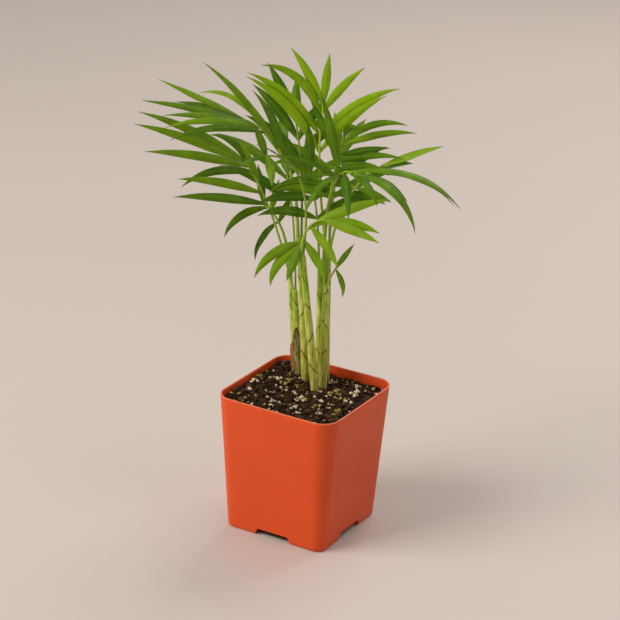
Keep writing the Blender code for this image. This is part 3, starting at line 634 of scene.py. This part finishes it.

# Each frond: the cane it leaves, its place on the cane top (heading, offset mm),
# stalk (heading, rise, arch, bare length mm, blade length mm), face (heading, tilt),
# width as a share of the usual, radius of the stalk's foot (mm), tone from deep 0 to bright 1,
# then leaflets (side, place along the blade, splay, lift, droop, length mm, turn).
# The tone is partly the leaves' own green and partly painted shade and light: low for the fronds inside the
# crown, where shade falls, and high for the top frond.
fronds = {
    "frond_top": dict(
        cane="cane_back_right", place=(213, 1.4), heading=213, rise=82, arch=-15,
        bare=71, blade=38, face=(300, 20), wide=0.88, foot=1.1, tone=0.98,
        leaflets=[
            (-1, 0.05, 28, 5, 35, 78, 0), (1, 0.05, 35, 5, 28, 64, 0),
            (-1, 0.38, 35, 5, 36, 70, 0), (1, 0.38, 39, 5, 36, 67, 0),
            (-1, 0.75, 25, 5, 70, 62, 0), (1, 0.84, 26, 5, 20, 45, 0),
            (-1, 0.98, 30, 5, 15, 48, 0), (1, 1.00, -3, 5, 5, 38, 0),
        ]),
    "frond_left_high": dict(
        cane="cane_middle", place=(210, 1.4), heading=210, rise=87, arch=68,
        bare=61, blade=38, face=(320, 45), wide=0.68, foot=1.45, tone=0.42,
        leaflets=[
            (1, 0.10, -6, 8, 20, 88, 0), (1, 0.45, 14, 5, 80, 63, 0),
            (-1, 1.00, -1, 5, 2, 67, 0), (-1, 0.98, 4, 5, 20, 52, 0),
            (-1, 0.90, 17, 5, 8, 80, 0), (-1, 0.80, 23, 5, 18, 68, 0),
            (-1, 0.70, 27, 5, 32, 71, 0), (-1, 0.55, 34, 5, 38, 75, 0),
        ]),
    "frond_left_low": dict(
        cane="cane_back_left", place=(210, 1.2), heading=210, rise=75, arch=19,
        bare=64, blade=40, face=(330, 30), wide=0.78, foot=0.95, tone=0.42,
        leaflets=[
            (-1, 0.05, 54, 5, 12, 82, 0), (-1, 0.28, 47, 5, 16, 74, 0),
            (-1, 0.70, 47, 5, 52, 61, 0), (-1, 0.85, 45, 5, 12, 87, 0),
            (-1, 0.93, 35, 5, 12, 96, 0), (-1, 1.00, 28, 5, 16, 92, 0),
            (1, 0.80, 9, 5, 80, 41, 0), (1, 0.45, 9, 5, 24, 36, 0),
        ]),
    "frond_left_drooping": dict(
        cane="cane_left", place=(200, 0.2), heading=200, rise=82, arch=50,
        bare=33, blade=18, face=(330, 30), wide=0.84, foot=1.3, tone=0.30,
        leaflets=[
            (-1, 0.05, 92, 0, 70, 35, -20), (-1, 0.80, 52, 5, 75, 42, -20),
            (1, 1.00, 47, 5, 5, 30, 0), (1, 0.60, 57, 10, 5, 24, 0),
            (1, 0.00, 52, 10, 10, 23, 0),
        ]),
    "frond_star": dict(
        cane="cane_right", place=(240, 1.4), heading=322, rise=97, arch=92,
        bare=92, blade=24, face=(330, 80), wide=0.84, foot=1.2, tone=0.16,
        leaflets=[
            (1, 0.05, 84, 6, 30, 42, -40), (1, 0.00, 100, 38, 35, 51, -60),
            (1, 0.15, 60, -16, 72, 47, -30), (1, 0.40, 17, -30, 70, 45, 10),
            (-1, 0.75, 18, -12, 72, 38, 20), (-1, 0.90, 29, -2, 84, 71, 30),
            (-1, 0.60, 62, 2, 66, 88, 40), (-1, 0.40, 68, 0, 62, 85, 40),
            (-1, 0.95, 54, -4, 50, 38, 20), (1, 0.02, 20, 52, 8, 60, 180),
        ]),
    "frond_right_high": dict(
        cane="cane_back_right", place=(340, 1.4), heading=0, rise=92, arch=22,
        bare=64, blade=22, face=(300, 30), wide=0.74, foot=1, tone=0.24,
        leaflets=[
            (1, 0.85, 28, 5, 54, 55, 0), (1, 0.70, 45, 5, 28, 58, 0),
            (1, 0.35, 57, 5, 12, 39, 0), (1, 0.10, 57, 5, 30, 48, 0),
            (1, 1.00, -6, 3, 150, 27, 0), (-1, 0.60, 50, 5, 20, 34, 0),
        ]),
    "frond_right_back": dict(
        cane="cane_right", place=(110, 1.4), heading=36, rise=87, arch=58,
        bare=68, blade=30, face=(300, 55), wide=0.8, foot=1, tone=0.30,
        leaflets=[
            (1, 1.00, 11, 5, 10, 47, 0), (1, 0.90, 14, 0, 30, 26, 0),
            (1, 0.60, 60, 5, 34, 38, 20), (1, 0.20, 65, 0, 15, 30, 20),
            (-1, 0.60, 100, 0, 50, 30, 0), (-1, 0.20, 110, 0, 50, 34, 0),
        ]),
    "frond_front_low": dict(
        cane="cane_front", place=(270, 1.4), heading=15, rise=88, arch=92,
        bare=8, blade=28, face=(290, 30), wide=0.98, foot=1.3, tone=0.50,
        leaflets=[
            (1, 0.45, 23, -12, 25, 63, 0), (1, 1.00, -2, 0, 26, 40, 0),
            (1, 0.95, 17, 0, 14, 44, 20), (1, 0.55, 92, -5, 20, 36, 0),
            (1, 0.10, 132, -5, 20, 34, 0), (-1, 0.05, 117, 16, 56, 45, 0),
            (-1, 0.00, 132, 12, 56, 41, 0), (-1, 0.00, 165, 16, 10, 29, 0),
        ]),
    "frond_small_right": dict(
        cane="cane_right", place=(0, 1.4), heading=25, rise=69, arch=8,
        bare=9, blade=4, face=(300, 30), wide=0.6, foot=0.7, tone=0.40,
        leaflets=[
            (1, 1.00, 2, 0, 5, 23, 0), (1, 0.90, 116, 0, 50, 22, 0),
        ]),
    "frond_centre_small": dict(
        cane="cane_front", place=(90, 1.4), heading=250, rise=95, arch=92,
        bare=70, blade=26, face=(330, 80), wide=0.92, foot=1, tone=0.18,
        leaflets=[
            (1, 0.30, 30, 5, 40, 26, 0), (1, 0.30, 30, 42, 40, 54, -60),
            (1, 1.00, 30, 60, 5, 25, -60), (1, 1.00, 20, -10, 40, 20, 0),
            (-1, 1.00, 66, -10, 60, 26, 20), (-1, 0.40, 60, 0, 40, 26, 20),
        ]),
    "frond_inner_front": dict(
        cane="cane_inner", place=(20, 1.3), heading=30, rise=88, arch=10,
        bare=50, blade=32, face=(300, 25), wide=0.92, foot=1.2, tone=0.16,
        leaflets=[
            (-1, 1.00, 34, 5, 8, 46, 0), (-1, 0.75, 84, -3, 40, 46, 0),
            (1, 0.70, 56, 6, 60, 40, 0), (-1, 0.30, 80, 5, 60, 46, 0),
            (1, 0.15, 80, 0, 30, 40, 0), (-1, 0.05, 70, 6, 50, 40, 0),
        ]),
    "frond_inner_left": dict(
        cane="cane_middle", place=(60, 1.4), heading=150, rise=88, arch=25,
        bare=48, blade=36, face=(300, 20), wide=1.0, foot=0.9, tone=0.12,
        leaflets=[
            (-1, 0.20, 35, 5, 30, 50, 0), (1, 0.20, 35, 5, 60, 40, 0),
            (-1, 0.60, 25, 5, 20, 50, 0), (1, 0.60, 30, 5, 60, 40, 0),
            (-1, 1.00, 12, 5, 10, 44, 0), (1, 1.00, 12, 5, 5, 30, 0),
        ]),
    "frond_inner_right": dict(
        cane="cane_inner", place=(200, 1.3), heading=200, rise=87, arch=14,
        bare=32, blade=36, face=(300, 30), wide=1.0, foot=1, tone=0.12,
        leaflets=[
            (-1, 0.10, 60, 5, 50, 44, 0), (1, 0.10, 60, -4, 40, 44, 0),
            (-1, 0.50, 62, 17, 40, 44, 0), (1, 0.50, 46, 2, 30, 46, 0),
            (-1, 1.00, 24, 8, 15, 40, 0), (1, 1.00, 12, 14, 15, 44, 0),
        ]),
    "frond_back_left": dict(
        cane="cane_back_left", place=(90, 1.2), heading=140, rise=82, arch=50,
        bare=60, blade=40, face=(140, 85), wide=1.0, foot=0.8, tone=0.30,
        leaflets=[
            (-1, 0.10, 50, 5, 30, 58, 0), (1, 0.10, 50, 5, 30, 58, 0),
            (-1, 0.50, 40, 5, 30, 60, 0), (1, 0.50, 40, 5, 30, 60, 0),
            (-1, 1.00, 12, 5, 30, 58, 0), (1, 0.95, 15, 5, 30, 58, 0),
        ]),
    "frond_back_right": dict(
        cane="cane_back_right", place=(90, 1.4), heading=110, rise=80, arch=45,
        bare=34, blade=34, face=(90, 85), wide=1.0, foot=0.9, tone=0.30,
        leaflets=[
            (-1, 0.10, 50, 5, 30, 46, 0), (1, 0.10, 50, 5, 30, 44, 0),
            (-1, 0.50, 53, 18, 30, 48, 0), (1, 0.50, 40, 5, 30, 44, 0),
            (-1, 1.00, 12, 5, 30, 46, 0), (1, 0.95, 15, 5, 30, 44, 0),
        ]),
}


# centre line of a stalk: the rise falls off with the square of the way along, and the steps are summed
def stalkLine(frond, count):
    top, axis = caneEnds(frond["cane"])[1:]
    sideways = aim(frond["place"][0], 0)
    sideways = unit(sideways - axis * float(sideways @ axis))
    start = top + sideways * (frond["place"][1] / 1000) + axis * frondLook["gap"]
    length = (frond["bare"] + frond["blade"]) / 1000
    bend = np.radians(frond["rise"] - frond["arch"] * np.linspace(0, 1, count) ** 2)
    ways = aim(frond["heading"], 0) * np.cos(bend)[:, None] + np.array([0, 0, 1]) * np.sin(bend)[:, None]
    return start + runningSum(ways, length / (count - 1)), ways


# centre line of a leaflet: it leaves the stalk at its splay and lift, then turns down by its droop
def leafletLine(frond, leaflet, count):
    side, place, splay, lift, droop, length, turn = leaflet
    steps = frondLook["stalkSteps"]
    points, ways = stalkLine(frond, steps + 1)
    barePart = frond["bare"] / (frond["bare"] + frond["blade"])
    spot = (barePart + (1 - barePart) * place * frondLook["lastLeaflet"]) * steps
    low = min(int(spot), steps - 1)
    root = points[low] + (points[low + 1] - points[low]) * (spot - low)
    way = unit(ways[low] + (ways[low + 1] - ways[low]) * (spot - low))
    face = aim(*frond["face"])
    face = unit(face - way * float(face @ way))
    across = np.cross(way, face)
    flat = way * math.cos(math.radians(splay)) + across * side * math.sin(math.radians(splay))
    startWay = flat * math.cos(math.radians(lift)) + face * math.sin(math.radians(lift))
    startUp = face * math.cos(math.radians(lift)) - flat * math.sin(math.radians(lift))
    startUp = turned(startUp, startWay, np.radians([turn]))[0]
    axis = unit(np.cross(startWay, np.array([0, 0, -1])))
    angles = np.radians(droop) * np.linspace(0, 1, count) ** 1.5
    directions = turned(startWay, axis, angles)
    line = root + runningSum(directions, length / 1000 / (count - 1))
    return line, directions, turned(startUp, axis, angles)


# half the width of a leaflet: quick rise from a narrow foot, full middle, then a long point
def leafHalfWidth(part, length, wide):
    rise = 0.28 + 0.72 * np.sin(np.minimum(part / 0.42, 1) * math.pi / 2) ** 1.2
    fall = (1 - np.clip((part - 0.42) / 0.58, 0, 1) ** 2.0) ** 1.08
    return (frondLook["leafWidth"] + frondLook["leafWidening"] * length) * wide / 2 * rise * fall


# a leaflet's closed skin: at each row the upper side runs from edge to edge, then the lower side runs back.
# height across = -fold |s|^1.25, folded more at the foot, with a slow ripple along each edge
def leafletSkin(frond, leaflet, draw):
    steps = frondLook["leafSteps"]
    part = np.linspace(0, 1, frondLook["leafRows"]) ** 0.92
    line, ways, ups = leafletLine(frond, leaflet, steps + 1)
    low = np.minimum((part * steps).astype(int), steps - 1)
    share = (part * steps - low)[:, None]
    line = line[low] + (line[low + 1] - line[low]) * share
    ways = unit(ways[low] + (ways[low + 1] - ways[low]) * share)
    ups = unit(ups[low] + (ups[low + 1] - ups[low]) * share)
    half = np.maximum(leafHalfWidth(part, leaflet[5] / 1000, frond["wide"]), 0.00010)[:, None]
    across = np.cross(ways, ups)
    s = np.array([-1, -0.88, -0.62, -0.34, -0.10, 0, 0.10, 0.34, 0.62, 0.88, 1])
    phase, waves = draw.uniform(0, 2 * math.pi, 2), draw.uniform(1.6, 3.2)
    wave = part[:, None] * waves * 2 * math.pi + np.where(s < 0, phase[0], phase[1])[None]
    ripple = np.sin(wave) * np.abs(s) ** 2
    foldMore = np.clip(1 - part / frondLook["footFoldReach"], 0, 1)[:, None] ** 2
    foldNow = frondLook["fold"] + frondLook["footFold"] * foldMore
    height = -foldNow * np.abs(s)[None] ** 1.25 * half
    height = height + frondLook["ripple"] * ripple * np.sin(part * math.pi)[:, None]
    thick = frondLook["thick"] / 2 * (1 - 0.5 * part)[:, None] * (1 - 0.75 * s[None] ** 2)
    rib = frondLook["rib"] * np.exp(-(s / frondLook["ribWidth"]) ** 2)[None] * (1 - 0.75 * part)[:, None]
    sideStep = across[:, None] * (s[None] * half)[..., None]
    upper = line[:, None] + sideStep + ups[:, None] * (height + thick)[..., None]
    lower = line[:, None] + sideStep + ups[:, None] * (height - thick - rib)[..., None]
    ring = np.concatenate([upper, lower[:, -2:0:-1]], axis=1)
    acrossUv = np.concatenate([s, s[-2:0:-1]]) * 0.5 + 0.5
    uv = np.stack(np.broadcast_arrays(part[:, None], acrossUv[None]), -1)
    under = np.concatenate([np.zeros(len(s)), np.ones(len(s) - 2)])
    return ring, uv, np.broadcast_to(under, ring.shape[:2])


# rings along a stalk, thinner toward its tip, with a groove up one side and a foot sunk in the cane's top
def stalkSkin(frond):
    count, sides = frondLook["stalkRows"], frondLook["stalkSides"]
    line, ways = stalkLine(frond, count)
    axis = caneEnds(frond["cane"])[2]
    level = aim(frond["heading"] + 90, 0)
    foot = frond["foot"] / 1000
    radius = foot + (frondLook["stalkTip"] - foot) * np.linspace(0, 1, count)
    sunk = line[0] - axis * np.array(frondLook["sunk"])[:, None]
    line, ways = np.vstack([sunk, line]), np.vstack([np.repeat(axis[None], len(sunk), axis=0), ways])
    radius = np.concatenate([np.full(len(sunk), radius[0]), radius])
    sideWay = unit(level - ways * (ways @ level)[:, None])
    other = np.cross(ways, sideWay)
    angles = np.arange(sides) * 2 * math.pi / sides
    groove = 1 - frondLook["groove"] * np.exp(-((angles - math.pi / 2) / 0.5) ** 2)
    along, over = np.cos(angles)[None, :, None], np.sin(angles)[None, :, None]
    outward = along * sideWay[:, None] + over * other[:, None]
    return line[:, None] + radius[:, None, None] * groove[None, :, None] * outward


# one mesh of a stalk and its leaflets; each leaflet's tone, partly painted shade and light, strays a little
# from its frond's
def makeFrond(name, blade, stalk, seed):
    frond, draw = fronds[name], np.random.default_rng(seed)
    ring = stalkSkin(frond)
    points, faces = [ring.reshape(-1, 3)], ringFaces(*ring.shape[:2])
    start = ring[..., 0].size
    uv, under, tone = [np.zeros((start, 2))], [np.zeros(start)], [np.full(start, frond["tone"])]
    finishOf = [np.ones(sum(len(part) for part in faces))]
    for leaflet in frond["leaflets"]:
        skin, skinUv, skinUnder = leafletSkin(frond, leaflet, draw)
        made = ringFaces(*skin.shape[:2], start)
        faces += made
        finishOf.append(np.zeros(sum(len(part) for part in made)))
        points.append(skin.reshape(-1, 3))
        uv.append(skinUv.reshape(-1, 2))
        under.append(skinUnder.ravel())
        leafTone = np.clip(frond["tone"] + draw.normal(0, frondLook["toneSpread"]), 0, 1)
        tone.append(np.full(skin[..., 0].size, leafTone))
        start += skin[..., 0].size
    marks = {"under": np.concatenate(under), "tone": np.concatenate(tone)}
    piece = meshObject("living_" + name, np.vstack(points), faces, [blade, stalk], uv=np.vstack(uv),
                       marks=marks, finishOf=np.concatenate(finishOf))
    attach(piece, "root")
    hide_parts(name)


# leaf blade: satin green between deep and bright by its tone, veins along it, a paler rib
# and underside, a brown point; part of the light that falls on the far side shows through
def bladeFinish():
    finish, tree, shader, place = newFinish("leafBlade")
    uv = addNode(tree, "UVMap", uv_map="UVMap").outputs[0]
    axes = addNode(tree, "SeparateXYZ", {0: uv})
    along, across = axes.outputs[0], axes.outputs[1]
    tone = markOf(tree, "tone")
    under = markOf(tree, "under")
    cloud = noiseOf(tree, place, 90.0, 3.0)
    veins = noiseOf(tree, stretched(tree, uv, (2.2, 46.0, 1.0)), 1.0, 2.0)
    # painted shade and light: the frond's tone, low inside the crown and high for the top frond, sets how
    # bright the green is
    shade = mathOf(tree, "ADD", tone, rangeOf(tree, cloud, 0.3, 0.7, -0.18, 0.18), clamp=True)
    colour = mixOf(tree, shade, frondLook["deepColour"], frondLook["brightColour"])
    colour = mixOf(tree, rangeOf(tree, veins, 0.42, 0.70, 0.0, 0.30), colour, (0.025, 0.085, 0.002))
    fromRib = mathOf(tree, "ABSOLUTE", mathOf(tree, "SUBTRACT", across, 0.5))
    rib = rangeOf(tree, fromRib, 0.012, 0.045, 0.50, 0.0)
    colour = mixOf(tree, rib, colour, (0.38, 0.54, 0.04))
    colour = mixOf(tree, rangeOf(tree, fromRib, 0.465, 0.5, 0.0, 0.35), colour, (0.30, 0.44, 0.02))
    colour = mixOf(tree, mathOf(tree, "MULTIPLY", under, 0.38), colour, (0.24, 0.38, 0.05))
    colour = mixOf(tree, rangeOf(tree, along, 0.10, 0.0, 0.0, 0.65), colour, (0.38, 0.54, 0.03))
    dry = mathOf(tree, "ADD", along, rangeOf(tree, cloud, 0.3, 0.7, -0.02, 0.02))
    colour = mixOf(tree, rangeOf(tree, dry, 0.945, 0.985), colour, frondLook["tipColour"])
    spots = rangeOf(tree, noiseOf(tree, place, 150.0, 2.0), 0.765, 0.785, 0.0, 0.7)
    colour = mixOf(tree, spots, colour, (0.060, 0.040, 0.012))
    ridges = bumpOf(tree, veins, 0.40, 0.00035)
    wire(tree, shader, colour, rangeOf(tree, cloud, 0.3, 0.7, 0.34, 0.46), ridges, frondLook["shine"])
    lit = mixOf(tree, 0.55, colour, (0.50, 0.70, 0.008))
    through = addNode(tree, "BsdfTranslucent", {"Color": lit, "Normal": ridges})
    shares = {0: frondLook["glow"], 1: shader.outputs[0], 2: through.outputs[0]}
    both = addNode(tree, "MixShader", shares)
    tree.links.new(both.outputs[0], tree.nodes["Material Output"].inputs["Surface"])
    return finish


# stalk: green between deep and pale by its tone, which is partly painted shade and light, with darker streaks
# along it
def stalkFinish():
    finish, tree, shader, place = newFinish("leafStalk")
    tone = markOf(tree, "tone")
    cloud = noiseOf(tree, stretched(tree, place, (700.0, 700.0, 120.0)), 1.0, 3.0)
    # painted shade and light: the stalk is darker or paler by its frond's tone
    colour = mixOf(tree, tone, (0.22, 0.34, 0.012), (0.44, 0.54, 0.03))
    colour = mixOf(tree, rangeOf(tree, cloud, 0.45, 0.75, 0.0, 0.5), colour, (0.10, 0.18, 0.006))
    wire(tree, shader, colour, rangeOf(tree, cloud, 0.3, 0.7, 0.36, 0.48), bumpOf(tree, cloud, 0.3, 0.0003))
    return finish


def makePlant():
    skin = caneFinish()
    for name in canes:
        makeCane(name, skin)
    for spot, name in enumerate(sheaths):
        makeSheath(name, sheathFinish(name), 40 + spot)
    print("canes made")
    blade, stalk = bladeFinish(), stalkFinish()
    for spot, name in enumerate(fronds):
        makeFrond(name, blade, stalk, 100 + spot)
    print("fronds made")


# ---- the studio: a pale floor, soft lights and the camera

studio = {
    "floorColour": (0.605, 0.525, 0.455), "worldColour": (0.80, 0.765, 0.780), "worldStrength": 0.47,
    "azimuth": 29.89, "elevation": 21.67, "distance": 1.5974, "aimHeight": 0.17, "roll": 2.15,
    "lens": 132.74, "shiftX": 0.0016, "shiftY": -0.0152,
    # name: where it stands, what it faces, width, height, watts, colour
    "lamps": {
        "keyLamp": ((-1.10, -1.35, 1.30), (0.0, 0.0, 0.14), 1.3, 1.3, 40.0, (1.0, 0.985, 0.96)),
        "rightLamp": ((1.70, 0.10, 0.95), (0.0, 0.0, 0.12), 1.2, 1.4, 4.5, (1.0, 0.97, 0.95)),
        "backLamp": ((0.15, 1.55, 1.35), (0.0, 0.0, 0.22), 1.4, 1.0, 16.0, (1.0, 0.98, 0.97)),
    },
}


# a frame whose third axis points back from the target to the eye
def lookFrame(eye, target, roll=0.0):
    back = unit(np.array(eye) - np.array(target))
    right = unit(np.cross([0, 0, 1], back))
    up = np.cross(back, right)
    turn = math.radians(roll)
    right, up = right * math.cos(turn) + up * math.sin(turn), up * math.cos(turn) - right * math.sin(turn)
    rows = np.column_stack([right, up, back, eye])
    return Matrix(np.vstack([rows, [0, 0, 0, 1]]).tolist())


# a level sheet under the pot, its points spaced by the square of their distance
def makeFloor():
    step = np.linspace(-1, 1, 41)
    spaced = np.sign(step) * np.abs(step) ** 2 * 6
    gx, gy = np.meshgrid(spaced, spaced)
    points = np.stack([gx.ravel(), gy.ravel(), np.full(gx.size, -0.0002)], -1)
    spot = np.arange(gx.size).reshape(gx.shape)
    quads = np.stack([spot[:-1, :-1], spot[:-1, 1:], spot[1:, 1:], spot[1:, :-1]], -1).reshape(-1, 4)
    finish, tree, shader, place = newFinish("paleFloor")
    soft = noiseOf(tree, place, 3.0, 2.0)
    deep = tuple(value * 0.97 for value in studio["floorColour"])
    tree.links.new(mixOf(tree, soft, deep, studio["floorColour"]), shader.inputs["Base Color"])
    shader.inputs["Roughness"].default_value = 0.55
    meshObject("floor", points, [quads], [finish])


# an even sky and three soft panels of light
def makeLights():
    world = bpy.data.worlds.new("softRoom")
    world.use_nodes = True
    sky = world.node_tree.nodes["Background"]
    sky.inputs["Color"].default_value = (*studio["worldColour"], 1)
    sky.inputs["Strength"].default_value = studio["worldStrength"]
    bpy.context.scene.world = world
    for name, (eye, target, width, height, watts, colour) in studio["lamps"].items():
        lamp = bpy.data.lights.new(name, "AREA")
        lamp.shape, lamp.size, lamp.size_y = "RECTANGLE", width, height
        lamp.energy, lamp.color = watts, colour
        stand = bpy.data.objects.new(name, lamp)
        stand.matrix_world = lookFrame(eye, target)
        bpy.context.collection.objects.link(stand)


# a long lens turned about its own axis by the roll, at a distance from a point up the pot's axis
def makeCamera():
    back = aim(studio["azimuth"] - 90, studio["elevation"])
    target = np.array([0, 0, studio["aimHeight"]])
    lens = bpy.data.cameras.new("studioCamera")
    lens.lens, lens.sensor_width = studio["lens"], 36.0
    lens.shift_x, lens.shift_y = studio["shiftX"], studio["shiftY"]
    lens.clip_start, lens.clip_end = 0.05, 50.0
    camera = bpy.data.objects.new("studioCamera", lens)
    camera.matrix_world = lookFrame(target + back * studio["distance"], target, studio["roll"])
    bpy.context.collection.objects.link(camera)
    bpy.context.scene.camera = camera
    bpy.context.scene.view_settings.view_transform = "Standard"
    print("studio made")


makePot()
makeMix()
makeBits()
makePlant()
makeFloor()
makeLights()
makeCamera()
